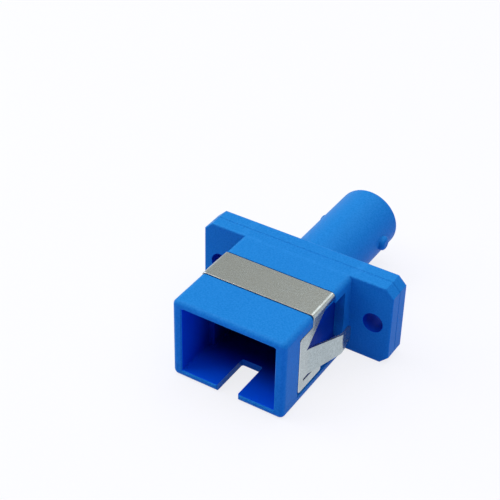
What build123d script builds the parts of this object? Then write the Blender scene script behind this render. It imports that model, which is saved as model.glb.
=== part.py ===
from build123d import *
import os

# Hybrid fibre adapter: a square push-pull socket on one side of a panel flange and
# a round bayonet barrel on the other, joined by one ceramic alignment sleeve.
# Millimetres. The origin is midway between the two screw holes, on the face of the
# flange that meets the panel. +X runs along the flange, +Y from the socket to the
# barrel along the light path, and +Z away from the side with the key slots.

# Flange, moulded as one half on each housing
EAR_REACH = 4.65
BODY_HEIGHT = 9.3
SOCKET_FLANGE_THICKNESS = 1.4
BARREL_FLANGE_THICKNESS = 1.45
EAR_CHAMFER = 0.9
FLANGE_EDGE_RADIUS = 0.15
SEAM_CHAMFER = 0.07
SCREW_EDGE_DISTANCE = 2.0
SCREW_HOLE_DIAMETER = 2.2

# Square socket
SOCKET_WIDTH = 12.7
SOCKET_LENGTH = 12.7
SOCKET_CORNER_RADIUS = 0.6
MOUTH_RIM_RADIUS = 0.5
SIDE_WALL = 1.1
TOP_WALL = 0.825
MOUTH_DEPTH = 4.9
MOUTH_CHAMFER = 0.15
GUIDE_STEP = 0.625
HOLLOW_CORNER_RADIUS = 0.2
SOCKET_KEY_WIDTH = 2.4
SOCKET_KEY_LENGTH = 4.8
KEY_LEAD_RADIUS = 0.25
KEY_END_RADIUS = 0.25

# Panel clip, bent from one strip of spring steel
CLIP_THICKNESS = 0.25
CLIP_BEND_RADIUS = 0.4
CLIP_PROUD = 0.05
CLIP_EDGE_CHAMFER = 0.04
CLIP_SEAT_CLEARANCE = 0.02
CLIP_EDGE_GAP = 0.15
CLIP_BOTTOM_GAP = 0.35
STRAP_WIDTH = 4.1
STRAP_SETBACK = 3.35
CHEEK_SETBACK = 9.85
CHEEK_TOP_DROP = 1.35
CHEEK_BOTTOM_RISE = 1.3
CHEEK_CORNER_RADIUS = 0.3
TOE_SETBACK = 5.5
TOE_HEIGHT = 1.0
NECK_SETBACK = 5.15
NECK_TAPER_SETBACK = 6.45
NECK_TAPER_DROP = 0.2
STRAP_TURN_DROP = 0.5
WING_ROOT_SETBACK = 8.6
WING_TOP_DROP = 2.1
WING_BEND_RADIUS = 0.9
WING_ANGLE = 20.5
WING_LENGTH = 4.3
WING_TAPER_SHARE = 0.26
WING_LIP_ANGLE = 5.0
WING_LIP_LENGTH = 2.0
WING_CORNER_RADIUS = 0.35
LANCE_GAP = 0.33
LANCE_LENGTH = 0.4

# Side pockets that the wings fold into
POCKET_SETBACK = 1.2
POCKET_DEPTH = 1.0
POCKET_RAMP_LENGTH = 1.7

# Latch insert, held in a seat behind the socket
SEAT_LEDGE = 0.675
SEAT_WALL = 0.5
SEAT_DEPTH = 1.15
SEAT_CLEARANCE = 0.05
SEAT_CORNER_RADIUS = 0.4
ARM_SIDE_GAP = 0.525
ARM_THICKNESS = 0.75
ARM_HEIGHT = 3.2
ARM_LENGTH = 7.4
ARM_ROOT_RADIUS = 0.3
HOOK_REACH = 0.6
HOOK_LENGTH = 1.5
HOOK_NOSE = 0.35

# Ceramic alignment sleeve and the two tubes that hold it
FERRULE_BORE = 2.5
SLEEVE_WALL = 0.35
SLEEVE_LENGTH = 11.4
SLEEVE_SLIT = 0.5
SLEEVE_CHAMFER = 0.12
SLEEVE_RUNNING_GAP = 0.05
SLEEVE_END_FLOAT = 0.15
HOLDER_WALL = 0.7
HOLDER_LIP_COVER = 0.175
HOLDER_LIP_THICKNESS = 0.6
HOLDER_LEAD = 0.25

# Bayonet barrel
BARREL_DIAMETER = 7.0
BARREL_WALL = 0.5
BARREL_LENGTH = 13.2
BARREL_TIP_RADIUS = 0.18
BARREL_ROOT_RADIUS = 1.0
BARREL_WEB_THICKNESS = 1.6
LUG_DIAMETER = 1.6
LUG_HEIGHT = 0.5
LUG_DOME_RADIUS = 0.4
LUG_SETBACK = 3.4
BARREL_KEY_WIDTH = 2.2
BARREL_KEY_LENGTH = 4.8
BARREL_KEY_LEAD = 0.6

# Places worked out from the sizes above
CUT_MARGIN = 0.5
FLANGE_WIDTH = SOCKET_WIDTH + 2 * EAR_REACH
SCREW_PITCH = FLANGE_WIDTH - 2 * SCREW_EDGE_DISTANCE
MOUTH_WIDTH = SOCKET_WIDTH - 2 * SIDE_WALL
MOUTH_HEIGHT = BODY_HEIGHT - 2 * TOP_WALL
GUIDE_WIDTH = MOUTH_WIDTH - 2 * GUIDE_STEP
SEAT_WIDTH = GUIDE_WIDTH + 2 * SEAT_LEDGE
SEAT_HEIGHT = BODY_HEIGHT - 2 * SEAT_WALL
ARM_SPACING = GUIDE_WIDTH - 2 * (ARM_THICKNESS + ARM_SIDE_GAP)
SEAM_Y = SOCKET_FLANGE_THICKNESS
BACK_Y = SEAM_Y + BARREL_FLANGE_THICKNESS
TIP_Y = BACK_Y + BARREL_LENGTH
MOUTH_Y = -SOCKET_LENGTH
SEAT_Y = SEAM_Y - SEAT_DEPTH
SIDE_X = SOCKET_WIDTH / 2
TOP_Z = BODY_HEIGHT / 2
CHEEK_TOP = TOP_Z - CHEEK_TOP_DROP
CHEEK_BOTTOM = TOP_Z - CHEEK_BOTTOM_RISE
STRAP_EDGE = TOP_Z - STRAP_TURN_DROP
CLIP_SEAT_DEPTH = CLIP_THICKNESS + CLIP_SEAT_CLEARANCE
RECESS_TOP = CHEEK_TOP + CLIP_EDGE_GAP
RECESS_BOTTOM = -CHEEK_BOTTOM - CLIP_BOTTOM_GAP
LANCE_BOTTOM = TOE_HEIGHT - CHEEK_BOTTOM
WING_TOP = CHEEK_TOP - WING_TOP_DROP
WING_BOTTOM = -LANCE_BOTTOM - LANCE_GAP
SLEEVE_DIAMETER = FERRULE_BORE + 2 * SLEEVE_WALL
HOLDER_LIP_BORE = SLEEVE_DIAMETER - 2 * HOLDER_LIP_COVER
HOLDER_BORE = SLEEVE_DIAMETER + 2 * SLEEVE_RUNNING_GAP
HOLDER_DIAMETER = HOLDER_BORE + 2 * HOLDER_WALL
HOLDER_LIP_Y = SEAM_Y + SLEEVE_LENGTH / 2 + SLEEVE_END_FLOAT
HOLDER_END_Y = HOLDER_LIP_Y + HOLDER_LIP_THICKNESS
BARREL_RADIUS = BARREL_DIAMETER / 2
BORE_RADIUS = BARREL_RADIUS - BARREL_WALL


def block(x0, x1, y0, y1, z0, z1):
    """A block between two opposite corners."""
    centre = Pos((x0 + x1) / 2, (y0 + y1) / 2, (z0 + z1) / 2)
    return centre * Box(x1 - x0, y1 - y0, z1 - z0)


def along_y(outline, y0, y1):
    """An outline drawn in X and Z, carried from y0 to y1."""
    return Pos(0, y1, 0) * extrude(Plane.XZ * outline, amount=y1 - y0)


def turned(*corners):
    """A solid of revolution about the light path, from (radius, y) corners."""
    return revolve(make_face(Polyline(*corners, close=True)), Axis.Y)


def rounded_outline(*corners):
    """A closed outline from (point, corner radius) pairs."""
    points, radii = zip(*corners)
    return make_face(FilletPolyline(*points, radius=radii, close=True))


def first_face(solid):
    """The face nearest the socket's mouth."""
    return solid.faces().sort_by(Axis.Y)[0]


def last_face(solid):
    """The face nearest the barrel's tip."""
    return solid.faces().sort_by(Axis.Y)[-1]


def flange_half(y0, y1):
    """Half of the flange's thickness, with its four outer corners cut off."""
    plate = along_y(Rectangle(FLANGE_WIDTH, BODY_HEIGHT), y0, y1)
    return chamfer(plate.edges().filter_by(Axis.Y), EAR_CHAMFER)


def screw_holes():
    """The two screw holes, which pass through both flange halves."""
    hole = along_y(Circle(SCREW_HOLE_DIAMETER / 2), -CUT_MARGIN, BACK_Y + CUT_MARGIN)
    return Pos(-SCREW_PITCH / 2, 0, 0) * hole + Pos(SCREW_PITCH / 2, 0, 0) * hole


def key_slot(width, length, lead):
    """The plan of a key slot that opens at y = 0, where the lead widens it."""
    slot = fillet((Pos(0, length / 2) * Rectangle(width, length)).vertices(), KEY_END_RADIUS)
    return slot + lead


def rounded_lead(width):
    """The rounded mouth of a key slot, with the space in front of it."""
    lead_width = width + 2 * KEY_LEAD_RADIUS
    lead = Pos(0, KEY_LEAD_RADIUS / 2) * Rectangle(lead_width, KEY_LEAD_RADIUS)
    for side in (-1, 1):
        lead -= Pos(side * lead_width / 2, KEY_LEAD_RADIUS) * Circle(KEY_LEAD_RADIUS)
    return lead + Pos(0, -CUT_MARGIN / 2) * Rectangle(lead_width, CUT_MARGIN)


def sloped_lead(width):
    """The sloped mouth of a key slot, with the space in front of it."""
    half = width / 2
    wide = half + BARREL_KEY_LEAD
    outline = Polyline((-half, BARREL_KEY_LEAD), (-wide, 0), (-wide, -CUT_MARGIN), (wide, -CUT_MARGIN),
                       (wide, 0), (half, BARREL_KEY_LEAD), close=True)
    return make_face(outline)


def socket_shell():
    """The square box and its half of the flange, before anything is cut out."""
    plate = flange_half(0, SEAM_Y)
    plate = fillet(first_face(plate).edges(), FLANGE_EDGE_RADIUS)
    plate = chamfer(last_face(plate).edges(), SEAM_CHAMFER)
    outline = RectangleRounded(SOCKET_WIDTH, BODY_HEIGHT, SOCKET_CORNER_RADIUS)
    box = along_y(outline, MOUTH_Y, SEAM_Y - SEAM_CHAMFER)
    return plate + fillet(first_face(box).edges(), MOUTH_RIM_RADIUS)


def socket_hollow():
    """The socket's inside: the guide along its whole length, and the insert's seat."""
    guide = RectangleRounded(GUIDE_WIDTH, MOUTH_HEIGHT, HOLLOW_CORNER_RADIUS)
    seat = RectangleRounded(SEAT_WIDTH, SEAT_HEIGHT, SEAT_CORNER_RADIUS)
    return along_y(guide, MOUTH_Y, SEAM_Y + CUT_MARGIN) + along_y(seat, SEAT_Y, SEAM_Y + CUT_MARGIN)


def clip_recess():
    """The shallow channel that the clip lies in, over the top and both sides."""
    wide = SIDE_X + CUT_MARGIN
    strap = block(-wide, wide, -STRAP_SETBACK - STRAP_WIDTH - CLIP_EDGE_GAP,
                  -STRAP_SETBACK + CLIP_EDGE_GAP, CHEEK_TOP, TOP_Z + CUT_MARGIN)
    cheeks = block(-wide, wide, -CHEEK_SETBACK - CLIP_EDGE_GAP, -POCKET_SETBACK,
                   RECESS_BOTTOM, RECESS_TOP)
    core_top = TOP_Z + CLIP_PROUD - CLIP_SEAT_DEPTH
    core_height = core_top + TOP_Z + CUT_MARGIN
    core = Pos(0, core_top - core_height / 2) * RectangleRounded(
        SOCKET_WIDTH - 2 * CLIP_SEAT_DEPTH, core_height, CLIP_BEND_RADIUS - CLIP_THICKNESS)
    return strap + cheeks - along_y(core, MOUTH_Y, SEAM_Y)


def wing_pocket():
    """The pocket behind the right wing: a ramp down from the cheek to a flat floor."""
    outline = Polyline(
        (SIDE_X + CUT_MARGIN, -WING_ROOT_SETBACK),
        (SIDE_X - CLIP_SEAT_DEPTH, -WING_ROOT_SETBACK),
        (SIDE_X - POCKET_DEPTH, -WING_ROOT_SETBACK + POCKET_RAMP_LENGTH),
        (SIDE_X - POCKET_DEPTH, -POCKET_SETBACK),
        (SIDE_X + CUT_MARGIN, -POCKET_SETBACK),
        close=True,
    )
    return Pos(0, 0, LANCE_BOTTOM) * extrude(make_face(outline), amount=RECESS_TOP - LANCE_BOTTOM)


def socket_key():
    """The key slot through the socket's bottom wall."""
    plan = key_slot(SOCKET_KEY_WIDTH, SOCKET_KEY_LENGTH, rounded_lead(SOCKET_KEY_WIDTH))
    plan = Pos(0, MOUTH_Y) * plan
    return Pos(0, 0, -TOP_Z - CUT_MARGIN) * extrude(plan, amount=TOP_Z + CUT_MARGIN)


def socket_housing():
    """The socket side's moulding: box, mouth, clip recess and half of the flange."""
    housing = socket_shell() - socket_hollow()
    mouth = RectangleRounded(MOUTH_WIDTH, MOUTH_HEIGHT, HOLLOW_CORNER_RADIUS)
    housing -= along_y(mouth, MOUTH_Y - CUT_MARGIN, MOUTH_Y + MOUTH_DEPTH)
    housing = chamfer(first_face(housing).inner_wires()[0].edges(), MOUTH_CHAMFER)
    pocket = wing_pocket()
    return housing - socket_key() - clip_recess() - pocket - mirror(pocket, Plane.YZ) - screw_holes()


def barrel_outside():
    """The barrel's outer form, with its root swept into the flange and a soft tip."""
    root_radius = min(BARREL_ROOT_RADIUS, TOP_Z - BARREL_RADIUS - FLANGE_EDGE_RADIUS)
    root = BARREL_RADIUS + root_radius
    inside_y = SEAM_Y + SEAM_CHAMFER
    outline = FilletPolyline(
        (0, inside_y), (root, inside_y), (root, BACK_Y), (BARREL_RADIUS, BACK_Y),
        (BARREL_RADIUS, TIP_Y), (0, TIP_Y),
        radius=(0, 0, 0, root_radius * 0.999, BARREL_TIP_RADIUS, 0), close=True,
    )
    return revolve(make_face(outline), Axis.Y)


def bayonet_lug_bar():
    """The two domed lugs, as one round bar across the barrel."""
    half = BARREL_RADIUS + LUG_HEIGHT
    bar = extrude(Plane.YZ * Circle(LUG_DIAMETER / 2), amount=half, both=True)
    bar = fillet(bar.edges().filter_by(GeomType.CIRCLE), LUG_DOME_RADIUS)
    return Pos(0, TIP_Y - LUG_SETBACK, 0) * bar


def sleeve_hollow():
    """The space for the barrel's half of the sleeve, with a lip that keeps it in."""
    seat_radius = HOLDER_BORE / 2
    lip_radius = HOLDER_LIP_BORE / 2
    mouth_radius = lip_radius + HOLDER_LEAD
    return turned((0, SEAM_Y - CUT_MARGIN), (seat_radius, SEAM_Y - CUT_MARGIN),
                  (seat_radius, HOLDER_LIP_Y), (lip_radius, HOLDER_LIP_Y),
                  (lip_radius, HOLDER_END_Y - HOLDER_LEAD), (mouth_radius, HOLDER_END_Y),
                  (mouth_radius, HOLDER_END_Y + CUT_MARGIN), (0, HOLDER_END_Y + CUT_MARGIN))


def holder_tube(root_y):
    """The tube that holds the barrel's half of the sleeve, from its root to its lip."""
    return along_y(Circle(HOLDER_DIAMETER / 2), root_y, HOLDER_END_Y)


def barrel_key():
    """The key slot through the barrel's wall, open at its tip."""
    plan = key_slot(BARREL_KEY_WIDTH, BARREL_KEY_LENGTH, sloped_lead(BARREL_KEY_WIDTH))
    plan = Pos(0, TIP_Y) * mirror(plan, Plane.XZ)
    height = BARREL_RADIUS + CUT_MARGIN - HOLDER_DIAMETER / 2
    return Pos(0, 0, -BARREL_RADIUS - CUT_MARGIN) * extrude(plan, amount=height)


def barrel_housing():
    """The barrel side's moulding: half of the flange, the barrel and its inner tube."""
    plate = flange_half(SEAM_Y, BACK_Y)
    plate = chamfer(first_face(plate).edges(), SEAM_CHAMFER)
    plate = fillet(last_face(plate).edges(), FLANGE_EDGE_RADIUS)
    bore_floor = BACK_Y + BARREL_WEB_THICKNESS
    bore = along_y(Circle(BORE_RADIUS), bore_floor, TIP_Y + CUT_MARGIN)
    housing = plate + barrel_outside() + bayonet_lug_bar() - bore + holder_tube(bore_floor)
    return housing - sleeve_hollow() - barrel_key() - screw_holes()


def clip_blank():
    """The clip's strip with its two bends, still as wide as the cheeks all over."""
    height = TOP_Z + CLIP_PROUD + CHEEK_BOTTOM
    middle = (TOP_Z + CLIP_PROUD - CHEEK_BOTTOM) / 2
    outside = Pos(0, middle) * Rectangle(SOCKET_WIDTH, height)
    outside = fillet(outside.vertices().group_by(Axis.Y)[-1], CLIP_BEND_RADIUS)
    inside = Pos(0, middle - CLIP_THICKNESS) * Rectangle(SOCKET_WIDTH - 2 * CLIP_THICKNESS, height)
    inside = fillet(inside.vertices().group_by(Axis.Y)[-1], CLIP_BEND_RADIUS - CLIP_THICKNESS)
    return along_y(outside - inside, -CHEEK_SETBACK, -STRAP_SETBACK)


def clip_side_view():
    """The clip's outline from the side: turned-down strap, neck, cheek and the lanced slot."""
    front = -STRAP_SETBACK - STRAP_WIDTH
    back = -STRAP_SETBACK
    above = TOP_Z + CLIP_PROUD + CUT_MARGIN
    root = -WING_ROOT_SETBACK
    corner = CHEEK_CORNER_RADIUS
    outline = rounded_outline(
        ((front, above), 0),
        ((front, CHEEK_TOP), corner / 2),
        ((-CHEEK_SETBACK, CHEEK_TOP), corner),
        ((-CHEEK_SETBACK, -CHEEK_BOTTOM), corner),
        ((-TOE_SETBACK, -CHEEK_BOTTOM), corner),
        ((-TOE_SETBACK, LANCE_BOTTOM), corner),
        ((root - LANCE_LENGTH, LANCE_BOTTOM), 0),
        ((root - LANCE_LENGTH, -WING_BOTTOM), 0),
        ((root, -WING_BOTTOM), 0),
        ((root, WING_TOP), 0),
        ((-NECK_TAPER_SETBACK, CHEEK_TOP - NECK_TAPER_DROP), corner),
        ((-NECK_SETBACK, STRAP_EDGE), corner),
        ((back, STRAP_EDGE), 0),
        ((back, above), 0),
    )
    return extrude(Plane.YZ * outline, amount=SOCKET_WIDTH, both=True)


def wing_side_view():
    """The wing's outline from the side: each edge tapers by a share of the root's height."""
    root = -WING_ROOT_SETBACK
    taper = WING_TAPER_SHARE * (WING_TOP + WING_BOTTOM)
    outline = Polyline((root, WING_TOP), (root, -WING_BOTTOM), (0, taper - WING_BOTTOM),
                       (0, WING_TOP - taper), close=True)
    return extrude(Plane.YZ * make_face(outline), amount=SOCKET_WIDTH)


def clip_wing():
    """The right wing: out of the cheek at its root, then a lip bent a little inwards."""
    middle_x = SIDE_X - CLIP_THICKNESS / 2
    root = Vector(middle_x, -WING_ROOT_SETBACK)
    bend = root + Vector(0, WING_BEND_RADIUS / 2)
    fold = bend + Vector(0, WING_LENGTH).rotate(Axis.Z, -WING_ANGLE)
    tip = fold + Vector(0, WING_LIP_LENGTH).rotate(Axis.Z, WING_LIP_ANGLE)
    spine = FilletPolyline(root, bend, fold, tip, radius=WING_BEND_RADIUS)
    section = Plane(origin=root, x_dir=(1, 0, 0), z_dir=(0, 1, 0)) * Rectangle(
        CLIP_THICKNESS, WING_TOP + WING_BOTTOM)
    wing = Pos(0, 0, (WING_TOP - WING_BOTTOM) / 2) * sweep(section, path=spine)
    wing &= wing_side_view()
    tip_corners = last_face(wing).edges().sort_by(Edge.length)[:2]
    return fillet(tip_corners, WING_CORNER_RADIUS)


def panel_clip():
    """The panel clip: a strap over the box, two cheeks and two sprung wings."""
    strip = clip_blank() & clip_side_view()
    strap_edges = strip.edges().filter_by(Axis.X).group_by(Axis.Z)[-1]
    wing = clip_wing()
    return chamfer(strap_edges, CLIP_EDGE_CHAMFER) + wing + mirror(wing, Plane.YZ)


def latch_arm():
    """The right latch arm, with a ramped hook that faces the light path."""
    inner = ARM_SPACING / 2
    outer = inner + ARM_THICKNESS
    tip = SEAT_Y - ARM_LENGTH
    outline = Polyline(
        (outer, SEAT_Y), (outer, tip + HOOK_NOSE), (outer - HOOK_NOSE / 2, tip), (inner, tip),
        (inner - HOOK_REACH, tip + HOOK_LENGTH / 2), (inner - HOOK_REACH, tip + HOOK_LENGTH - HOOK_NOSE),
        (inner, tip + HOOK_LENGTH), (inner, SEAT_Y), close=True,
    )
    return Pos(0, 0, -ARM_HEIGHT / 2) * extrude(make_face(outline), amount=ARM_HEIGHT)


def latch_insert():
    """The latch insert: a seated plate, two latch arms and half of the sleeve's tube."""
    plate = along_y(RectangleRounded(SEAT_WIDTH - 2 * SEAT_CLEARANCE, SEAT_HEIGHT - 2 * SEAT_CLEARANCE,
                                     SEAT_CORNER_RADIUS), SEAT_Y, SEAM_Y)
    arm = latch_arm()
    insert = plate + arm + mirror(arm, Plane.YZ)
    roots = insert.edges().filter_by(Axis.Z).filter_by_position(Axis.Y, SEAT_Y - 0.01, SEAT_Y + 0.01)
    arm_reach = ARM_SPACING / 2 + 2 * ARM_THICKNESS
    insert = fillet(roots.filter_by_position(Axis.X, -arm_reach, arm_reach), ARM_ROOT_RADIUS)
    across_seam = Plane((0, SEAM_Y, 0), z_dir=(0, 1, 0))
    return insert + mirror(holder_tube(SEAM_Y), across_seam) - mirror(sleeve_hollow(), across_seam)


def alignment_sleeve():
    """The ceramic sleeve: a thin tube, slit along its top so that it can spring open."""
    wall = along_y(Circle(SLEEVE_DIAMETER / 2) - Circle(FERRULE_BORE / 2),
                   SEAM_Y - SLEEVE_LENGTH / 2, SEAM_Y + SLEEVE_LENGTH / 2)
    wall = chamfer(wall.edges().filter_by(GeomType.CIRCLE), SLEEVE_CHAMFER)
    return wall - block(-SLEEVE_SLIT / 2, SLEEVE_SLIT / 2, SEAM_Y - SLEEVE_LENGTH,
                        SEAM_Y + SLEEVE_LENGTH, 0, SLEEVE_DIAMETER)


PIECES = {
    "socket_housing": socket_housing,
    "barrel_housing": barrel_housing,
    "panel_clip": panel_clip,
    "latch_insert": latch_insert,
    "alignment_sleeve": alignment_sleeve,
}

os.makedirs("parts", exist_ok=True)
for name, make_piece in PIECES.items():
    export_step(make_piece(), f"parts/{name}.step")
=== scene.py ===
"""Hybrid fibre adapter: the finishes, the floor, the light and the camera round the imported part.

Everything is in metres, in the part's own frame: +X along the flange, +Y from the square
socket to the round barrel, +Z away from the side with the key slots.
"""

import logging
import math
from dataclasses import dataclass, field
from enum import Enum

import bpy
import numpy as np
from mathutils import Matrix, Vector


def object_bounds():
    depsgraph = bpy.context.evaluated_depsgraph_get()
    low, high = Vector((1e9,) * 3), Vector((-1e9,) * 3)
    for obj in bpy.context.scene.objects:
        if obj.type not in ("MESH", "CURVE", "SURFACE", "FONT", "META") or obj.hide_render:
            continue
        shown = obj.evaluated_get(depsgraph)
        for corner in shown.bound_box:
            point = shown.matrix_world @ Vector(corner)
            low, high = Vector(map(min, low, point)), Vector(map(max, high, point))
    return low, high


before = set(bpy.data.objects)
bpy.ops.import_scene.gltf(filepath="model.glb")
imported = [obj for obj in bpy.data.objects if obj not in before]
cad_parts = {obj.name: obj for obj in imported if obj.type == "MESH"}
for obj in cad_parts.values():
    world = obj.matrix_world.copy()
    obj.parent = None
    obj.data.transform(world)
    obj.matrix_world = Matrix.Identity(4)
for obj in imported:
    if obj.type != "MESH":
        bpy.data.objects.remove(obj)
cad_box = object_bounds()

logging.basicConfig(level=logging.INFO, format="%(name)s: %(message)s")
log = logging.getLogger("adapter")

MM = 0.001  # one millimetre in metres
FAR = 50.0  # beyond the part on every side, in millimetres
Colour = tuple[float, float, float]
Point = tuple[float, float, float]
Socket = bpy.types.NodeSocket
Sockets = bpy.types.bpy_prop_collection


class Grain(Enum):
    """How a surface was left by its mould or tool."""

    SPARKED = "fine pits that a spark-eroded mould leaves on plastic"
    DULLED = "fine dimples of steel dulled with glass beads"
    GROUND = "rings left by grinding a round piece"


@dataclass(frozen=True)
class GrainSizes:
    """The size and the strength of a grain.

    Attributes:
        pitch: Distance between neighbouring pits, in metres.
        depth: Depth of a pit, in metres.
        softness: Width of the smooth step that shapes the noise, for pits only.
    """

    pitch: float
    depth: float
    softness: float = 0.0


GRAINS: dict[Grain, GrainSizes] = {
    Grain.SPARKED: GrainSizes(pitch=0.18 * MM, depth=0.0035 * MM, softness=0.45),
    Grain.DULLED: GrainSizes(pitch=0.20 * MM, depth=0.0024 * MM, softness=0.40),
    Grain.GROUND: GrainSizes(pitch=0.03 * MM, depth=0.0010 * MM),
}


@dataclass(frozen=True)
class MouldedPlastic:
    """A moulded plastic finish.

    Attributes:
        name: Name of the material.
        colour: Base colour, linear.
        blush: Paler colour of the flow marks, linear.
        rubbed: Colour of the edges that plugs and fingers rub, linear.
        shade_colour: Painted shade inside the openings, a darker, more saturated colour, linear.
        deepest: Painted shade at the far end of an opening, darkest, linear.
        roughness: Roughness of the untouched surface.
        sheen_level: The shader's specular level.
        grain: How the mould left the surface.
        cloud_size: Size of the flow's clouds, in metres.
        cloud_contrast: Contrast of the clouds.
        cloud_share: Share of the blush in the thickest cloud.
        speckle_share: Share of the rubbed colour on the highest grain.
        rub_share: Share of the rubbed colour on the most rubbed edge.
        rub_breaks: Values of the fine noise between which a rubbed edge breaks up.
        hole_shade_share: Share of the deepest painted shade on the wall of a round hole.
        smudge_size: Size of the handling marks, in metres.
        smudge_amount: Strength of the handling marks.
        smudge_gloss: Change of the roughness under a handling mark.
        rub_gloss: Change of the roughness on a rubbed edge.
        grain_gloss: Change of the roughness on the highest grain.
    """

    name: str
    colour: Colour
    blush: Colour
    rubbed: Colour
    shade_colour: Colour
    deepest: Colour
    roughness: float
    sheen_level: float
    grain: Grain = Grain.SPARKED
    cloud_size: float = 4.5 * MM
    cloud_contrast: float = 1.6
    cloud_share: float = 0.55
    speckle_share: float = 0.45
    rub_share: float = 0.45
    rub_breaks: tuple[float, float] = (0.25, 0.75)
    hole_shade_share: float = 0.4
    smudge_size: float = 3.0 * MM
    smudge_amount: float = 0.6
    smudge_gloss: float = -0.07
    rub_gloss: float = -0.10
    grain_gloss: float = 0.05


@dataclass(frozen=True)
class SpringSteel:
    """A rolled and bead-dulled steel strip.

    Attributes:
        name: Name of the material.
        colour: Colour of the flat faces, linear.
        smudge: Colour under handling marks and in the dimples, linear.
        burnish_and_highlight: Colour of the sheared edges, partly their burnish and partly a
            painted highlight, linear.
        roughness: Roughness of the flat faces.
        edge_roughness: Roughness of the sheared edges.
        grain: How the strip was dulled.
        line_stretch: Rolling lines per metre along each axis.
        line_depth: Depth of a rolling line, in metres.
        line_share: Share of the smudge's colour in a rolling line.
        dimple_share: Share of the smudge's colour in the deepest dimple.
        edge_share: Share of the burnish and painted highlight on a sheared edge.
        smudge_size: Size of the handling marks, in metres.
        smudge_amount: Strength of the handling marks.
        smudge_gloss: Change of the roughness under a handling mark.
        grain_gloss: Change of the roughness in the deepest dimple.
    """

    name: str
    colour: Colour
    smudge: Colour
    burnish_and_highlight: Colour
    roughness: float
    edge_roughness: float
    grain: Grain = Grain.DULLED
    line_stretch: Point = (260.0, 16000.0, 260.0)
    line_depth: float = 0.0012 * MM
    line_share: float = 0.12
    dimple_share: float = 0.70
    edge_share: float = 0.8
    smudge_size: float = 2.2 * MM
    smudge_amount: float = 0.8
    smudge_gloss: float = 0.08
    grain_gloss: float = 0.06


@dataclass(frozen=True)
class GroundCeramic:
    """A ground zirconia finish.

    Attributes:
        name: Name of the material.
        colour: Base colour, linear.
        warm: Slightly warmer colour in the ceramic's clouds, linear.
        roughness: Roughness of the ground surface.
        grain: How the piece was ground.
        ring_stretch: Grinding rings' features per metre across the light path.
        ring_gloss: Change of the roughness in a grinding ring.
        cloud_size: Size of the clouds, in metres.
        cloud_contrast: Contrast of the clouds.
        cloud_share: Share of the warm colour in the thickest cloud.
    """

    name: str
    colour: Colour
    warm: Colour
    roughness: float
    grain: Grain = Grain.GROUND
    ring_stretch: float = 300.0
    ring_gloss: float = 0.10
    cloud_size: float = 2.0 * MM
    cloud_contrast: float = 1.2
    cloud_share: float = 0.5


# Its last two colours are painted shade for the walls of the socket, the wings' pockets and the
# screw holes.
HOUSING_BLUE = MouldedPlastic(
    name="housing_blue", colour=(0.007, 0.204, 0.505), blush=(0.011, 0.232, 0.555),
    rubbed=(0.034, 0.306, 0.655), shade_colour=(0.001, 0.100, 0.700), deepest=(0.001, 0.012, 0.110),
    roughness=0.42, sheen_level=0.06)
# The insert's near-black colours are painted shade: the insert is only seen deep in the socket's
# shadow, and its last two colours darken it further towards the flange.
INSERT_BLUE = MouldedPlastic(
    name="insert_blue", colour=(0.001, 0.008, 0.045), blush=(0.002, 0.012, 0.060),
    rubbed=(0.006, 0.030, 0.130), shade_colour=(0.001, 0.005, 0.040), deepest=(0.001, 0.003, 0.020),
    roughness=0.42, sheen_level=0.10)
# Its edge colour is partly burnish and partly a painted highlight.
CLIP_STEEL = SpringSteel(
    name="clip_steel", colour=(0.448, 0.510, 0.532), smudge=(0.325, 0.372, 0.386),
    burnish_and_highlight=(0.700, 0.720, 0.740), roughness=0.21, edge_roughness=0.18)
SLEEVE_WHITE = GroundCeramic(
    name="sleeve_white", colour=(0.830, 0.820, 0.780), warm=(0.800, 0.770, 0.700), roughness=0.24)


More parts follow.
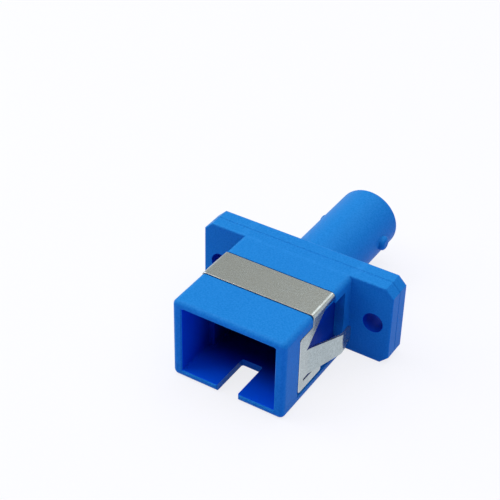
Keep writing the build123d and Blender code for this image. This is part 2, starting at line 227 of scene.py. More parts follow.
class Nodes:
    """A node tree with short ways to add, set and join its nodes."""

    def __init__(self, tree: bpy.types.NodeTree) -> None:
        """Takes the tree and empties it.

        Args:
            tree: The node tree of a material or of a group.
        """
        self.tree = tree
        tree.nodes.clear()

    def add(self, kind: str, **settings: object) -> bpy.types.Node:
        """Adds a node.

        Args:
            kind: The node's type name.
            **settings: Properties to set on it.

        Returns:
            The new node.
        """
        node = self.tree.nodes.new(kind)
        for key, value in settings.items():
            setattr(node, key, value)
        return node

    def join(self, source: Socket, target: Socket) -> None:
        """Links an output to an input."""
        self.tree.links.new(source, target)

    def feed(self, socket: Socket, value: object) -> None:
        """Links a socket to an input, or sets the input's plain value.

        Args:
            socket: The input.
            value: An output socket, a number or a tuple of numbers.
        """
        if isinstance(value, Socket):
            self.join(value, socket)
        else:
            socket.default_value = value

    def maths(self, operation: str, *values: object, clamp: bool = False) -> Socket:
        """Adds a Math node and returns its result.

        Args:
            operation: The node's operation.
            *values: One to three output sockets or numbers.
            clamp: Whether the result is held between 0 and 1.

        Returns:
            The node's output.
        """
        node = self.add("ShaderNodeMath", operation=operation, use_clamp=clamp)
        for socket, value in zip(node.inputs, values):
            self.feed(socket, value)
        return node.outputs[0]

    def vector(self, operation: str, *values: object) -> Socket:
        """Adds a Vector Math node and returns its vector.

        Args:
            operation: The node's operation.
            *values: One or two output sockets or vectors.

        Returns:
            The node's output.
        """
        node = self.add("ShaderNodeVectorMath", operation=operation)
        for socket, value in zip(node.inputs, values):
            self.feed(socket, value)
        return node.outputs[0]

    def greatest(self, first: Socket, *others: Socket) -> Socket:
        """The greatest of several values."""
        for other in others:
            first = self.maths("MAXIMUM", first, other)
        return first

    def length(self, first: Socket, second: Socket) -> Socket:
        """The root of the sum of two values' squares."""
        squares = [self.maths("MULTIPLY", value, value) for value in (first, second)]
        return self.maths("SQRT", self.maths("ADD", *squares))

    def mix(self, factor: object, first: object, second: object) -> Socket:
        """Mixes two colours.

        Args:
            factor: Share of the second colour, a socket or a number.
            first: Colour at factor 0.
            second: Colour at factor 1.

        Returns:
            The mixed colour's output.
        """
        node = self.add("ShaderNodeMix", data_type="RGBA")
        self.feed(node.inputs["Factor"], factor)
        for socket, value in ((node.inputs[6], first), (node.inputs[7], second)):
            self.feed(socket, value if isinstance(value, Socket) else (*value, 1.0))
        return node.outputs[2]

    def blend(self, mask: Socket, share: float, first: object, second: object) -> Socket:
        """Mixes two colours by a mask, of which only a share counts.

        Args:
            mask: Output socket with the mask.
            share: Share of the second colour where the mask is 1.
            first: Colour where the mask is 0.
            second: The other colour.

        Returns:
            The mixed colour's output.
        """
        return self.mix(self.maths("MULTIPLY", mask, share), first, second)

    def shifted(self, base: object, *steps: tuple[Socket, float]) -> Socket:
        """Adds to a value each mask times its step.

        Args:
            base: A number or an output socket.
            *steps: Pairs of a mask and the step that it makes where it is 1.

        Returns:
            The sum's output.
        """
        for mask, step in steps:
            base = self.maths("MULTIPLY_ADD", mask, step, base)
        return base

    def smooth_step(self, value: object, start: object, end: object) -> Socket:
        """Maps a value smoothly from 0 to 1.

        Args:
            value: A number or an output socket.
            start: Value at which the step is 0.
            end: Value at which the step is 1.

        Returns:
            The step's output.
        """
        node = self.add("ShaderNodeMapRange", interpolation_type="SMOOTHSTEP")
        self.feed(node.inputs["Value"], value)
        self.feed(node.inputs["From Min"], start)
        self.feed(node.inputs["From Max"], end)
        return node.outputs["Result"]

    def noise(self, place: object, scale: object, detail: float = 2.0,
              roughness: float = 0.5) -> Socket:
        """Adds a 3-D noise.

        Args:
            place: Output socket with the place that the noise is read at.
            scale: Features per metre.
            detail: Octaves added to the first.
            roughness: Strength of each octave against the one before.

        Returns:
            The noise's value, about 0 to 1.
        """
        node = self.add("ShaderNodeTexNoise")
        self.feed(node.inputs["Vector"], place)
        self.feed(node.inputs["Scale"], scale)
        node.inputs["Detail"].default_value = detail
        node.inputs["Roughness"].default_value = roughness
        return node.outputs["Fac"]

    def parts(self, vector: Socket) -> tuple[Socket, ...]:
        """Splits a vector into its X, Y and Z."""
        node = self.add("ShaderNodeSeparateXYZ")
        self.join(vector, node.inputs[0])
        return tuple(node.outputs)

    def place(self) -> Socket:
        """The point's place in the part's frame, in metres."""
        return self.add("ShaderNodeTexCoord").outputs["Object"]


class Effect:
    """A shader node group with named inputs and outputs, built once.

    Its first input is the place that it is read at. Each further input is named with its plain
    value, which is None for a vector. The outputs are numbers.
    """

    title = "effect"
    inputs: dict[str, float | None] = {}
    outputs: tuple[str, ...] = ()

    def __init__(self) -> None:
        """Builds the group's sockets and then its inside."""
        self.group = bpy.data.node_groups.new(self.title, "ShaderNodeTree")
        face = self.group.interface
        for name, value in {"Place": None, **self.inputs}.items():
            kind = "NodeSocketVector" if value is None else "NodeSocketFloat"
            socket = face.new_socket(name=name, in_out="INPUT", socket_type=kind)
            if value is not None:
                socket.default_value = value
        for name in self.outputs:
            face.new_socket(name=name, in_out="OUTPUT", socket_type="NodeSocketFloat")
        nodes = Nodes(self.group)
        start = nodes.add("NodeGroupInput")
        end = nodes.add("NodeGroupOutput")
        self.inside(nodes, start.outputs, end.inputs)

    def inside(self, nodes: Nodes, given: Sockets, made: Sockets) -> None:
        """Adds the group's nodes between its inputs and its outputs."""
        raise NotImplementedError

    def put(self, surface: "Surface", **values: object) -> Sockets:
        """Places the group in a material.

        Args:
            surface: The surface whose material it goes into.
            **values: A socket or a number for each further input, with underscores for spaces.

        Returns:
            The placed group's outputs.
        """
        node = surface.nodes.add("ShaderNodeGroup", node_tree=self.group)
        for key, value in {"Place": surface.place, **values}.items():
            surface.nodes.feed(node.inputs[key.replace("_", " ")], value)
        return node.outputs


class PitGrain(Effect):
    """Fine pits: noise at the grain's pitch, steepened about its middle.

    Pits = smooth step of the noise from 0.5 - softness/2 to 0.5 + softness/2.
    Height = depth x pits.
    """

    title = "pit_grain"
    inputs = {"Pitch": 0.0001, "Depth": 0.000003, "Softness": 0.4}
    outputs = ("Height", "Pits")

    def inside(self, nodes: Nodes, given: Sockets, made: Sockets) -> None:
        """Adds the noise and its shaping."""
        scale = nodes.maths("DIVIDE", 1.0, given["Pitch"])
        raw = nodes.noise(given["Place"], scale, detail=1.5, roughness=0.55)
        ends = [nodes.maths("MULTIPLY_ADD", given["Softness"], side, 0.5) for side in (-0.5, 0.5)]
        pits = nodes.smooth_step(raw, *ends)
        nodes.join(pits, made["Pits"])
        nodes.join(nodes.maths("MULTIPLY", pits, given["Depth"]), made["Height"])


class FlowMottle(Effect):
    """Slow clouds of colour and gloss, as where the melt met and cooled.

    The clouds are noise stretched along the light path, which is the way the mould filled.
    """

    title = "flow_mottle"
    fill_stretch = (1.0, 0.55, 1.0)
    fine_ratio = 9.0
    inputs = {"Size": 0.003, "Contrast": 1.0}
    outputs = ("Clouds", "Fine")

    def inside(self, nodes: Nodes, given: Sockets, made: Sockets) -> None:
        """Adds two noises, one of them stretched."""
        stretched = nodes.vector("MULTIPLY", given["Place"], self.fill_stretch)
        scale = nodes.maths("DIVIDE", 1.0, given["Size"])
        wide = nodes.noise(stretched, scale, detail=3.0, roughness=0.5)
        centred = nodes.maths("SUBTRACT", wide, 0.5)
        clouds = nodes.maths("MULTIPLY_ADD", centred, given["Contrast"], 0.5, clamp=True)
        nodes.join(clouds, made["Clouds"])
        close = nodes.maths("MULTIPLY", scale, self.fine_ratio)
        nodes.join(nodes.noise(given["Place"], close, detail=2.0), made["Fine"])


class BoxEdges(Effect):
    """A mask of the places near a box's edges.

    For each axis, nearness = 1 at the box's face and 0 a reach away from it, also outside.
    The mask is the greatest product of two axes' nearness, raised to the sharpness, so it is 1
    only on an edge.
    """

    title = "box_edges"
    sharpness = 0.7
    inputs = {"Centre": None, "Half Size": None, "Reach": 0.0003}
    outputs = ("Mask",)

    def inside(self, nodes: Nodes, given: Sockets, made: Sockets) -> None:
        """Adds the three nearnesses and their products."""
        offset = nodes.vector("SUBTRACT", given["Place"], given["Centre"])
        gap = nodes.vector("SUBTRACT", nodes.vector("ABSOLUTE", offset), given["Half Size"])
        near = []
        for part in nodes.parts(nodes.vector("ABSOLUTE", gap)):
            share = nodes.maths("DIVIDE", part, given["Reach"])
            near.append(nodes.maths("SUBTRACT", 1.0, share, clamp=True))
        products = [nodes.maths("MULTIPLY", near[a], near[b]) for a, b in ((0, 1), (1, 2), (0, 2))]
        nodes.join(nodes.maths("POWER", nodes.greatest(*products), self.sharpness), made["Mask"])


class RoundEdge(Effect):
    """A mask of the places near a circle about the light path.

    Nearness = 1 on the circle, falling to 0 a reach away in the radius or along Y.
    """

    title = "round_edge"
    inputs = {"Radius": 0.003, "Along": 0.0, "Reach": 0.0003}
    outputs = ("Mask",)

    def inside(self, nodes: Nodes, given: Sockets, made: Sockets) -> None:
        """Adds the distance in radius and along Y."""
        x, y, z = nodes.parts(given["Place"])
        out = nodes.maths("SUBTRACT", nodes.length(x, z), given["Radius"])
        along = nodes.maths("SUBTRACT", y, given["Along"])
        share = nodes.maths("DIVIDE", nodes.length(out, along), given["Reach"])
        nodes.join(nodes.maths("SUBTRACT", 1.0, share, clamp=True), made["Mask"])


class BoxInside(Effect):
    """A mask of painted shade on the walls of a box-shaped opening, the same on both sides of the
    YZ plane.

    Inside = 1 where |X|, Y and Z are all nearer to the centre than the half size.
    Depth = Inside x smooth step of the share of the reach behind the mouth, from a quarter to 1.
    """

    title = "shade_box"
    first_share = 0.25
    inputs = {"Centre": None, "Half Size": None, "Mouth": 0.0, "Reach": 0.005}
    outputs = ("Inside", "Depth")

    def inside(self, nodes: Nodes, given: Sockets, made: Sockets) -> None:
        """Adds the folded place, the box's test and the depth."""
        x, y, z = nodes.parts(given["Place"])
        folded = nodes.add("ShaderNodeCombineXYZ")
        for socket, part in zip(folded.inputs, (nodes.maths("ABSOLUTE", x), y, z)):
            nodes.join(part, socket)
        offset = nodes.vector("SUBTRACT", folded.outputs[0], given["Centre"])
        gap = nodes.vector("SUBTRACT", nodes.vector("ABSOLUTE", offset), given["Half Size"])
        within = nodes.maths("LESS_THAN", nodes.greatest(*nodes.parts(gap)), 0.0)
        nodes.join(within, made["Inside"])
        share = nodes.maths("DIVIDE", nodes.maths("SUBTRACT", y, given["Mouth"]), given["Reach"])
        depth = nodes.smooth_step(share, self.first_share, 1.0)
        nodes.join(nodes.maths("MULTIPLY", within, depth), made["Depth"])


class HolePair(Effect):
    """A mask of painted shade on the walls of two round holes along Y, at plus and minus an offset
    in X.
    """

    title = "hole_shade_mask"
    inputs = {"Offset": 0.009, "Radius": 0.001}
    outputs = ("Mask",)

    def inside(self, nodes: Nodes, given: Sockets, made: Sockets) -> None:
        """Adds the distance to the nearer hole's axis and compares it with the radius."""
        x, _, z = nodes.parts(given["Place"])
        aside = nodes.maths("SUBTRACT", nodes.maths("ABSOLUTE", x), given["Offset"])
        within = nodes.maths("LESS_THAN", nodes.length(aside, z), given["Radius"])
        nodes.join(within, made["Mask"])


class Smudges(Effect):
    """Handling marks: a slow noise cut to its upper part and broken by a finer one."""

    title = "smudges"
    marked = (0.42, 0.72)
    broken = (0.3, 0.7)
    break_ratio = 14.0
    inputs = {"Size": 0.002, "Amount": 0.5}
    outputs = ("Mask",)

    def inside(self, nodes: Nodes, given: Sockets, made: Sockets) -> None:
        """Adds the two noises and their product."""
        scale = nodes.maths("DIVIDE", 1.0, given["Size"])
        slow = nodes.smooth_step(nodes.noise(given["Place"], scale, detail=3.0), *self.marked)
        close = nodes.maths("MULTIPLY", scale, self.break_ratio)
        breaks = nodes.smooth_step(nodes.noise(given["Place"], close, detail=3.0), *self.broken)
        mask = nodes.maths("MULTIPLY", slow, breaks)
        nodes.join(nodes.maths("MULTIPLY", mask, given["Amount"]), made["Mask"])


class RollingLines(Effect):
    """Faint lines that rolling or grinding leaves: noise that is much finer one way."""

    title = "rolling_lines"
    inputs = {"Stretch": None, "Depth": 0.000001}
    outputs = ("Height", "Lines")

    def inside(self, nodes: Nodes, given: Sockets, made: Sockets) -> None:
        """Adds the stretched noise."""
        stretched = nodes.vector("MULTIPLY", given["Place"], given["Stretch"])
        lines = nodes.noise(stretched, 1.0, detail=3.0, roughness=0.65)
        nodes.join(lines, made["Lines"])
        nodes.join(nodes.maths("MULTIPLY", lines, given["Depth"]), made["Height"])


class Effects:
    """The effects that the materials share."""

    def __init__(self) -> None:
        """Builds each group once."""
        self.grain = PitGrain()
        self.mottle = FlowMottle()
        self.box_edges = BoxEdges()
        self.round_edge = RoundEdge()
        self.shade_box = BoxInside()
        self.hole_shade_mask = HolePair()
        self.smudges = Smudges()
        self.rolling = RollingLines()


@dataclass(frozen=True)
class EdgeBox:
    """A box with rubbed edges, by two corners and the rub's reach, in millimetres."""

    low: Point
    high: Point
    reach: float = 0.32

    def centre(self) -> Point:
        """The middle of the box, in metres."""
        return tuple((a + b) / 2 * MM for a, b in zip(self.low, self.high))

    def half(self) -> Point:
        """Half of the box's size, in metres."""
        return tuple((b - a) / 2 * MM for a, b in zip(self.low, self.high))


@dataclass(frozen=True)
class EdgeRing:
    """A rubbed circle about the light path, with the rub's reach, in millimetres."""

    radius: float
    along: float
    reach: float = 0.35


@dataclass(frozen=True)
class Opening:
    """A box-shaped opening whose walls get painted shade, in millimetres.

    Attributes:
        box: The box of its walls, or of its half at +X.
        mouth: Place of its mouth along Y.
        reach: Distance from there to its far end.
    """

    box: EdgeBox
    mouth: float
    reach: float


@dataclass(frozen=True)
class Holes:
    """Two round holes along Y whose walls get painted shade, as far left as right of the middle, in
    millimetres.
    """

    offset: float
    radius: float


class Surface:
    """A material with a Principled shader that the finishes fill in."""

    def __init__(self, name: str) -> None:
        """Makes an empty material.

        Args:
            name: The material's name.
        """
        self.material = bpy.data.materials.new(name)
        self.material.use_nodes = True
        self.nodes = Nodes(self.material.node_tree)
        self.shader = self.nodes.add("ShaderNodeBsdfPrincipled")
        self.output = self.nodes.add("ShaderNodeOutputMaterial")
        self.nodes.join(self.shader.outputs[0], self.output.inputs[0])
        self.place = self.nodes.place()

    def set(self, **values: object) -> None:
        """Sets or links the shader's sockets.

        Args:
            **values: A socket or a number for each input, with underscores for spaces.
        """
        for key, value in values.items():
            self.nodes.feed(self.shader.inputs[key.replace("_", " ")], value)

    def bump(self, height: Socket) -> None:
        """Turns a height in metres into the shader's normal, at its true size.

        Args:
            height: Output socket with the height.
        """
        node = self.nodes.add("ShaderNodeBump")
        node.inputs["Strength"].default_value = 1.0
        node.inputs["Distance"].default_value = 1.0
        self.nodes.join(height, node.inputs["Height"])
        self.nodes.join(node.outputs[0], self.shader.inputs["Normal"])

    def grain(self, kind: Grain, effects: Effects) -> Sockets:
        """Places the grain's group with the sizes of a grain.

        Args:
            kind: The grain.
            effects: The shared groups.

        Returns:
            The placed group's outputs.
        """
        sizes = GRAINS[kind]
        return effects.grain.put(self, Pitch=sizes.pitch, Depth=sizes.depth,
                                 Softness=sizes.softness)

    def marks(self, finish: MouldedPlastic | SpringSteel, effects: Effects) -> Socket:
        """The mask of the handling marks.

        Args:
            finish: The finish that they are on.
            effects: The shared groups.

        Returns:
            The mask's output.
        """
        return effects.smudges.put(self, Size=finish.smudge_size,
                                   Amount=finish.smudge_amount)["Mask"]

    def clouds(self, finish: MouldedPlastic | GroundCeramic, effects: Effects) -> Sockets:
        """Places the group of the clouds and returns its outputs."""
        return effects.mottle.put(self, Size=finish.cloud_size, Contrast=finish.cloud_contrast)

    def rub(self, edges: list[EdgeBox], rings: list[EdgeRing], effects: Effects) -> Socket:
        """The mask of the rubbed edges.

        Args:
            edges: Boxes whose edges are rubbed.
            rings: Circles that are rubbed.
            effects: The shared groups.

        Returns:
            The mask's output.
        """
        masks = [effects.box_edges.put(self, Centre=box.centre(), Half_Size=box.half(),
                                       Reach=box.reach * MM)["Mask"] for box in edges]
        masks += [effects.round_edge.put(self, Radius=ring.radius * MM, Along=ring.along * MM,
                                         Reach=ring.reach * MM)["Mask"] for ring in rings]
        return self.nodes.greatest(*masks)

    def openings(self, openings: list[Opening], holes: list[Holes], hole_shade_share: float,
                 effects: Effects) -> tuple[Socket, Socket]:
        """The masks of the painted shade on the openings' walls.

        Args:
            openings: Box-shaped openings.
            holes: Round holes.
            hole_shade_share: How far a round hole's wall counts as a far end.
            effects: The shared groups.

        Returns:
            The mask of all the shaded walls, and the mask of the darkest painted shade at the
            openings' far ends.
        """
        put = [effects.shade_box.put(
            self, Centre=opening.box.centre(), Half_Size=opening.box.half(),
            Mouth=opening.mouth * MM, Reach=opening.reach * MM) for opening in openings]
        round_walls = [effects.hole_shade_mask.put(self, Offset=pair.offset * MM,
                                             Radius=pair.radius * MM)["Mask"] for pair in holes]
        walls = self.nodes.greatest(*(outputs["Inside"] for outputs in put), *round_walls)
        dim_walls = [self.nodes.maths("MULTIPLY", wall, hole_shade_share) for wall in round_walls]
        return walls, self.nodes.greatest(*(outputs["Depth"] for outputs in put), *dim_walls)


def plastic_material(finish: MouldedPlastic, effects: Effects, edges: list[EdgeBox],
                     rings: list[EdgeRing], openings: list[Opening],
                     holes: list[Holes]) -> bpy.types.Material:
    """Makes a moulded plastic: clouds of flow, rubbed edges, smudged gloss, a fine grain and
    painted shade in its openings.

    Args:
        finish: Colours and gloss.
        effects: The shared groups.
        edges: Boxes whose edges are rubbed.
        rings: Circles that are rubbed.
        openings: Box-shaped openings, whose walls get painted shade that darkens towards their far
            end.
        holes: Round holes, whose walls get painted shade.

    Returns:
        The material.
    """
    surface = Surface(finish.name)
    nodes = surface.nodes
    pits = surface.grain(finish.grain, effects)
    flow = surface.clouds(finish, effects)
    marks = surface.marks(finish, effects)
    rub = nodes.maths("MULTIPLY", surface.rub(edges, rings, effects),
                      nodes.smooth_step(flow["Fine"], *finish.rub_breaks))
    clouded = nodes.blend(flow["Clouds"], finish.cloud_share, finish.colour, finish.blush)
    speckled = nodes.blend(pits["Pits"], finish.speckle_share, clouded, finish.rubbed)
    worn = nodes.blend(rub, finish.rub_share, speckled, finish.rubbed)
    # Painted shade: the walls of the openings and holes turn a darker, more saturated blue, darkest
    # at an opening's far end.
    walls, ends = surface.openings(openings, holes, finish.hole_shade_share, effects)
    inner = nodes.mix(ends, finish.shade_colour, finish.deepest)
    gloss = nodes.shifted(finish.roughness, (marks, finish.smudge_gloss), (rub, finish.rub_gloss),
                          (pits["Pits"], finish.grain_gloss))
    surface.set(Base_Color=nodes.mix(walls, worn, inner), Roughness=gloss,
                Specular_IOR_Level=finish.sheen_level)
    surface.bump(pits["Height"])
    return surface.material


def steel_material(finish: SpringSteel, effects: Effects,
                   edges: list[EdgeBox]) -> bpy.types.Material:
    """Makes the clip's steel: bead-dulled faces, faint rolling lines and sheared edges with burnish
    and a painted highlight.

    Args:
        finish: Colours and gloss.
        effects: The shared groups.
        edges: Boxes whose edges are the strip's sheared edges.

    Returns:
        The material.
    """
    surface = Surface(finish.name)
    nodes = surface.nodes
    pits = surface.grain(finish.grain, effects)
    rolled = effects.rolling.put(surface, Stretch=finish.line_stretch, Depth=finish.line_depth)
    marks = surface.marks(finish, effects)
    rub = surface.rub(edges, [], effects)
    faces = nodes.mix(marks, finish.colour, finish.smudge)
    lined = nodes.blend(rolled["Lines"], finish.line_share, faces, finish.smudge)
    dimpled = nodes.blend(pits["Pits"], finish.dimple_share, lined, finish.smudge)
    gloss = nodes.shifted(finish.roughness, (marks, finish.smudge_gloss),
                          (pits["Pits"], finish.grain_gloss),
                          (rub, finish.edge_roughness - finish.roughness))
    # Sheared edges: a paler colour, partly burnish and partly a painted highlight along the strip's
    # edges.
    surface.set(Base_Color=nodes.blend(rub, finish.edge_share, dimpled, finish.burnish_and_highlight),
                Metallic=1.0, Roughness=gloss)
    surface.bump(nodes.maths("ADD", pits["Height"], rolled["Height"]))
    return surface.material


def ceramic_material(finish: GroundCeramic, effects: Effects) -> bpy.types.Material:
    """Makes the sleeve's ceramic: faint clouds and the rings that grinding leaves.

    Args:
        finish: Colours and gloss.
        effects: The shared groups.

    Returns:
        The material.
    """
    surface = Surface(finish.name)
    nodes = surface.nodes
    grain = GRAINS[finish.grain]
    stretch = (finish.ring_stretch, 1.0 / grain.pitch, finish.ring_stretch)
    rings = effects.rolling.put(surface, Stretch=stretch, Depth=grain.depth)
    flow = surface.clouds(finish, effects)
    clouded = nodes.blend(flow["Clouds"], finish.cloud_share, finish.colour, finish.warm)
    surface.set(Base_Color=clouded,
                Roughness=nodes.shifted(finish.roughness, (rings["Lines"], finish.ring_gloss)))
    surface.bump(rings["Height"])
    return surface.material


def dress(node: str, material: bpy.types.Material) -> None:
    """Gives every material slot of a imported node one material.

    Args:
        node: The node's name.
        material: Its new material.
    """
    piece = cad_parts[node]
    for slot in piece.material_slots:
        slot.material = material
    if not piece.material_slots:
        piece.data.materials.append(material)
    log.info("%s dressed in %s", node, material.name)


@dataclass
class HousingPair:
    """The two moulded housings, with the places that their finish follows, in millimetres.

    Attributes:
        flange_width: Length of the flange along X.
        flange_depth: Thickness of the flange.
        height: Height of the flange and the socket.
        socket_width: Width of the socket box.
        socket_length: Length of the socket box in front of the flange.
        socket_reach: How far the rub reaches from the socket's edges.
        barrel_radius: Outer radius of the barrel.
        bore_radius: Inner radius of the barrel.
        tip: Place of the barrel's tip along Y.
        mouth_width: Width of the socket's inside.
        mouth_height: Height of the socket's inside.
        mouth_depth: Depth at which the painted shade inside the socket is darkest.
        seam: Place of the seam between the housings along Y.
        hole_offset: Distance of each screw hole from the middle.
        hole_radius: Radius of a screw hole.
        skin: How far a painted shade mask reaches past the walls that it darkens.
        pocket_depth: Depth of a wing's pocket.
        pocket_lip: Depth at which the pocket's painted shade starts.
        pocket_face: First and last place of the pocket along Y.
        pocket_low: Lowest place of the pocket.
        pocket_high: Highest place of the pocket.
        pocket_mouth: Place along Y that the pocket's painted shade is measured from.
        pocket_reach: Distance along Y over which the pocket's painted shade darkens.
    """

    flange_width: float = 22.0
    flange_depth: float = 2.85
    height: float = 9.3
    socket_width: float = 12.7
    socket_length: float = 12.7
    socket_reach: float = 0.55
    barrel_radius: float = 3.5
    bore_radius: float = 3.0
    tip: float = 16.05
    mouth_width: float = 10.5
    mouth_height: float = 7.65
    mouth_depth: float = 6.5
    seam: float = 1.4
    hole_offset: float = 9.0
    hole_radius: float = 1.1
    skin: float = 0.03
    pocket_depth: float = 1.0
    pocket_lip: float = 0.1
    pocket_face: tuple[float, float] = (-8.0, -1.23)
    pocket_low: float = -2.40
    pocket_high: float = 3.45
    pocket_mouth: float = -16.0
    pocket_reach: float = 20.0

    def rubbed_boxes(self) -> list[EdgeBox]:
        """The flange and the socket box, whose outer edges are rubbed."""
        top = self.height / 2
        flange = EdgeBox((-self.flange_width / 2, 0.0, -top),
                         (self.flange_width / 2, self.flange_depth, top))
        socket = EdgeBox((-self.socket_width / 2, -self.socket_length, -top),
                         (self.socket_width / 2, self.socket_length, top), self.socket_reach)
        return [flange, socket]

    def rubbed_rings(self) -> list[EdgeRing]:
        """The barrel's outer and inner rims."""
        return [EdgeRing(self.barrel_radius, self.tip), EdgeRing(self.bore_radius, self.tip)]

    def openings(self) -> list[Opening]:
        """The socket's inside and the wings' pockets, which get painted shade, with a thin skin
        round their walls.
        """
        half, tall = self.mouth_width / 2 + self.skin, self.mouth_height / 2 + self.skin
        socket = EdgeBox((-half, -self.socket_length - self.skin, -tall), (half, self.seam, tall))
        side, face = self.socket_width / 2, self.pocket_face
        pocket = EdgeBox((side - self.pocket_depth - self.skin, face[0], self.pocket_low),
                         (side - self.pocket_lip, face[1], self.pocket_high))
        return [Opening(socket, -self.socket_length, self.mouth_depth),
                Opening(pocket, self.pocket_mouth, self.pocket_reach)]

    def build(self, effects: Effects) -> None:
        """Dresses both housings in one plastic.

        Args:
            effects: The shared groups.
        """
        # The socket, the wings' pockets and the screw holes get painted shade on their walls.
        holes = [Holes(self.hole_offset, self.hole_radius + self.skin)]
        material = plastic_material(HOUSING_BLUE, effects, self.rubbed_boxes(), self.rubbed_rings(),
                                    self.openings(), holes)
        dress("socket_housing", material)
        dress("barrel_housing", material)


@dataclass
class PanelClip:
    """The spring clip, with the places of its sheared edges, which carry a painted highlight, in
    millimetres.

    Attributes:
        half_width: Distance of each cheek's face from the middle.
        top: Height of the strap's face.
        strap_front: Place of the strap's edge on the socket's side along Y.
        strap_back: Place of the strap's other edge along Y.
        cheek_front: Place of the cheek's edge on the socket's side along Y.
        cheek_low: Height of the cheek's lower edge.
        edge_reach: How far the painted highlight reaches from an edge.
    """

    half_width: float = 6.35
    top: float = 4.70
    strap_front: float = -7.45
    strap_back: float = -3.35
    cheek_front: float = -9.85
    cheek_low: float = -3.35
    edge_reach: float = 0.09

    def highlighted_edge_boxes(self) -> list[EdgeBox]:
        """The strap and the cheeks, whose sheared edges carry burnish and a painted highlight."""
        strap = EdgeBox((-FAR, self.strap_front, -FAR), (FAR, self.strap_back, self.top),
                        self.edge_reach)
        cheek = EdgeBox((-self.half_width, self.cheek_front, self.cheek_low),
                        (self.half_width, FAR, FAR), self.edge_reach)
        return [strap, cheek]

    def build(self, effects: Effects) -> None:
        """Dresses the clip in steel.

        Args:
            effects: The shared groups.
        """
        dress("panel_clip", steel_material(CLIP_STEEL, effects, self.highlighted_edge_boxes()))


@dataclass
class LightPath:
    """The latch insert and the ceramic sleeve that the two ferrules meet in, in millimetres.

    Attributes:
        arm_spacing: Distance between the latch arms.
        arm_tip: Place of the arms' tips along Y.
        arm_height: Height of the arms.
        arm_reach: How far the rub reaches from the arms' edges.
        bore_radius: Radius of the insert's bore at its mouth.
        bore_mouth: Place of that mouth along Y.
    """

    arm_spacing: float = 6.7
    arm_tip: float = -7.15
    arm_height: float = 3.2
    arm_reach: float = 0.25
    bore_radius: float = 1.5
    bore_mouth: float = -5.05

    def build(self, effects: Effects) -> None:
        """Dresses the insert in plastic with painted shade, darker towards the flange, and the
        sleeve in ceramic.

        Args:
            effects: The shared groups.
        """
        half, tall = self.arm_spacing / 2, self.arm_height / 2
        arms = EdgeBox((-half, self.arm_tip, -tall), (half, 0.0, tall), self.arm_reach)
        bore = EdgeRing(self.bore_radius, self.bore_mouth)
        # Painted shade over the whole insert, darkening from the arms' tips towards the flange.
        insert_shade = Opening(EdgeBox((-FAR, -FAR, -FAR), (FAR, FAR, FAR)), self.arm_tip, -self.arm_tip)
        dress("latch_insert", plastic_material(INSERT_BLUE, effects, [arms], [bore], [insert_shade], []))
        dress("alignment_sleeve", ceramic_material(SLEEVE_WHITE, effects))


def bearing(azimuth: float, elevation: float) -> Vector:
    """The unit vector towards a direction.

    Args:
        azimuth: Degrees from -Y towards +X.
        elevation: Degrees over the floor.

    Returns:
        The vector (sin a cos e, -cos a cos e, sin e).
    """
    a, e = math.radians(azimuth), math.radians(elevation)
    return Vector((math.sin(a) * math.cos(e), -math.cos(a) * math.cos(e), math.sin(e)))


@dataclass
class Lamp:
    """A square area lamp that points at the part.

    Attributes:
        name: The lamp's name.
        azimuth: Direction that it stands in, degrees from -Y towards +X.
        elevation: Height of that direction over the floor, degrees.
        distance: Distance from the part, metres.
        size: Side of the square, metres.
        power: Power in watts.
    """

    name: str
    azimuth: float
    elevation: float
    distance: float
    size: float
    power: float

    def build(self, target: Vector) -> None:
        """Adds the lamp, turned to the target.

        Args:
            target: The point that it lights.
        """
        data = bpy.data.lights.new(self.name, "AREA")
        data.shape, data.size, data.energy = "SQUARE", self.size, self.power
        lamp = bpy.data.objects.new(self.name, data)
        back = bearing(self.azimuth, self.elevation)
        lamp.location = target + back * self.distance
        lamp.rotation_mode = "QUATERNION"
        lamp.rotation_quaternion = (-back).to_track_quat("-Z", "Y")
        bpy.context.scene.collection.objects.link(lamp)
        log.info("lamp %s at %.0f degrees, %.0f up", self.name, self.azimuth, self.elevation)


@dataclass
class PhotoCamera:
    """The camera at the photograph's angle.

    Attributes:
        azimuth: Direction that it stands in, degrees from -Y towards +X.
        elevation: Height of that direction, degrees.
        roll: Turn about its own axis, degrees.
        distance: Distance to the part's origin along the view, metres.
        slide: How far it stands to its right and up of that line, metres.
        focal: Focal length in pixels of the frame.
        frame_pixels: Side of the frame in pixels.
        sensor: Width of the sensor, millimetres.
        clip: Nearest and farthest distance that it sees, metres.
    """

    azimuth: float = 31.245
    elevation: float = 36.049
    roll: float = 1.358
    distance: float = 0.135569
    slide: tuple[float, float] = (-0.00454, 0.004292)
    focal: float = 1328.63
    frame_pixels: float = 500.0
    sensor: float = 36.0
    clip: tuple[float, float] = (0.01, 10.0)

    def build(self) -> None:
        """Adds the camera from its direction, roll and distance."""
        back = bearing(self.azimuth, self.elevation)
        a, r = math.radians(self.azimuth), math.radians(self.roll)
        level = Vector((math.cos(a), math.sin(a), 0.0))
        raised = back.cross(level)
        right = level * math.cos(r) + raised * math.sin(r)
        up = raised * math.cos(r) - level * math.sin(r)
        data = bpy.data.cameras.new("photo_view")
        data.sensor_width = self.sensor
        data.lens = self.focal / self.frame_pixels * self.sensor
        data.clip_start, data.clip_end = self.clip
        camera = bpy.data.objects.new("photo_view", data)
        turn = Matrix((right, up, back)).transposed().to_4x4()
        spot = back * self.distance + right * self.slide[0] + up * self.slide[1]
        camera.matrix_world = Matrix.Translation(spot) @ turn
        bpy.context.scene.collection.objects.link(camera)
        bpy.context.scene.camera = camera
        log.info("camera %.1f mm from the origin", self.distance / MM)


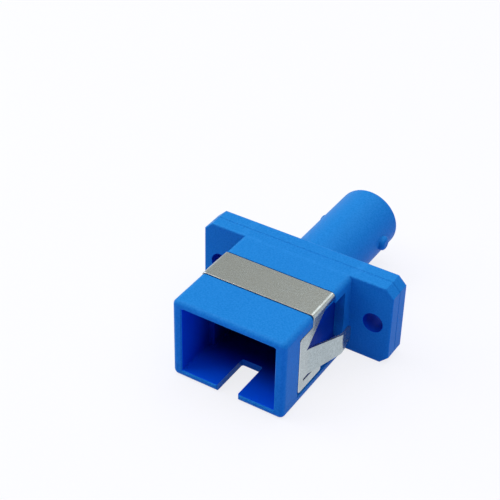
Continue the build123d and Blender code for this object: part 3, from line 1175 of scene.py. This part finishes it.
@dataclass
class PaperFloor:
    """The sheet of white paper under the part.

    Attributes:
        level: Height of the sheet, metres.
        reach: Half of the sheet's side, metres.
        lines: Number of the mesh's lines each way.
        crowding: Power that draws the lines together near the part.
        shades: Darkest and palest shade of the paper, linear.
        fibres: Fibres per metre.
        bounce: Linear colour of the floor where the part's own light comes from it.
        glow: Share of plain white that the camera sees in the paper.
        shine: Share of plain white that glossy surfaces see in the paper.
        roughness: Roughness of the paper.
        sheen_level: The shader's specular level.
    """

    level: float
    reach: float = 1.5
    lines: int = 33
    crowding: int = 3
    shades: tuple[float, float] = (0.90, 0.94)
    fibres: float = 2500.0
    bounce: Colour = (0.28, 0.55, 0.88)
    glow: float = 0.80
    shine: float = 0.92
    roughness: float = 0.9
    sheen_level: float = 0.1

    def build(self) -> None:
        """Adds the sheet.

        The sheet is level: place = (reach x u, reach x v, level) for u and v from -1 to 1,
        spaced as a cube so that its cells are small near the part.
        """
        line = np.linspace(-1.0, 1.0, self.lines) ** self.crowding * self.reach
        x, y = np.meshgrid(line, line, indexing="ij")
        points = np.stack([x, y, np.full_like(x, self.level)], axis=-1).reshape(-1, 3)
        index = np.arange(self.lines ** 2).reshape(self.lines, self.lines)
        faces = np.stack([index[:-1, :-1], index[1:, :-1], index[1:, 1:], index[:-1, 1:]], axis=-1)
        mesh = bpy.data.meshes.new("floor")
        mesh.from_pydata(points.tolist(), [], faces.reshape(-1, 4).tolist())
        sheet = bpy.data.objects.new("floor", mesh)
        bpy.context.scene.collection.objects.link(sheet)
        mesh.materials.append(self.material())

    def material(self) -> bpy.types.Material:
        """Makes white paper that keeps the part's shadow and is near white to the camera."""
        surface = Surface("white_paper")
        nodes = surface.nodes
        fibres = nodes.noise(surface.place, self.fibres, detail=4.0)
        path = nodes.add("ShaderNodeLightPath").outputs
        seen = nodes.greatest(path["Is Camera Ray"], path["Is Transmission Ray"])
        white = nodes.mix(fibres, (self.shades[0],) * 3, (self.shades[1],) * 3)
        surface.set(Base_Color=nodes.mix(seen, self.bounce, white), Roughness=self.roughness,
                    Specular_IOR_Level=self.sheen_level)
        glow = nodes.add("ShaderNodeEmission")
        share = nodes.greatest(nodes.maths("MULTIPLY", seen, self.glow),
                               nodes.maths("MULTIPLY", path["Is Glossy Ray"], self.shine))
        blend = nodes.add("ShaderNodeMixShader")
        layers = (share, surface.shader.outputs[0], glow.outputs[0])
        for source, target in zip(layers, blend.inputs):
            nodes.join(source, target)
        nodes.join(blend.outputs[0], surface.output.inputs[0])
        return surface.material


@dataclass
class WhiteRoom:
    """The world: an even cool light, and white where the camera and gloss see it.

    Attributes:
        sky_colour: Linear colour of the world's own light.
        sky_strength: Level of the world's own light.
        zenith_colour: Linear colour that gloss sees straight above.
        white_heights: Sines of the elevations between which the white falls to that colour.
    """

    sky_colour: Colour = (0.12, 0.24, 1.90)
    sky_strength: float = 0.18
    zenith_colour: Colour = (0.370, 0.295, 0.180)
    white_heights: tuple[float, float] = (0.10, 0.90)

    def build(self) -> None:
        """Sets the world, whose white falls smoothly to the zenith's colour for glossy rays."""
        world = bpy.data.worlds.new("studio")
        world.use_nodes = True
        nodes = Nodes(world.node_tree)
        path = nodes.add("ShaderNodeLightPath").outputs
        seen = nodes.greatest(path["Is Camera Ray"], path["Is Glossy Ray"],
                              path["Is Transmission Ray"])
        direction = nodes.add("ShaderNodeTexCoord").outputs["Generated"]
        height = nodes.smooth_step(nodes.parts(direction)[2], *self.white_heights)
        height = nodes.maths("MULTIPLY", height, path["Is Glossy Ray"])
        backdrop = nodes.mix(height, (1.0, 1.0, 1.0), self.zenith_colour)
        own_light = tuple(part * self.sky_strength for part in self.sky_colour)
        sky = nodes.add("ShaderNodeBackground")
        nodes.join(nodes.mix(seen, own_light, backdrop), sky.inputs["Color"])
        sky.inputs["Strength"].default_value = 1.0
        out = nodes.add("ShaderNodeOutputWorld")
        nodes.join(sky.outputs[0], out.inputs[0])
        bpy.context.scene.world = world


@dataclass
class Studio:
    """The camera, the floor, the room and the lamps.

    Attributes:
        lamps: The lamps: a wide soft one overhead and a weak one at the left.
    """

    lamps: list[Lamp] = field(default_factory=lambda: [
        Lamp("overhead", azimuth=140.0, elevation=80.0, distance=0.45, size=0.76, power=2.74),
        Lamp("left_fill", azimuth=-70.0, elevation=40.0, distance=0.45, size=0.34, power=0.92),
    ])

    def build(self) -> None:
        """Adds everything round the part."""
        PhotoCamera().build()
        PaperFloor(level=cad_box[0].z).build()
        WhiteRoom().build()
        for lamp in self.lamps:
            lamp.build((cad_box[0] + cad_box[1]) / 2)
        bpy.context.scene.view_settings.view_transform = "Standard"


def main() -> None:
    """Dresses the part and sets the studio."""
    effects = Effects()
    HousingPair().build(effects)
    PanelClip().build(effects)
    LightPath().build(effects)
    Studio().build()


if __name__ == "__main__":
    main()
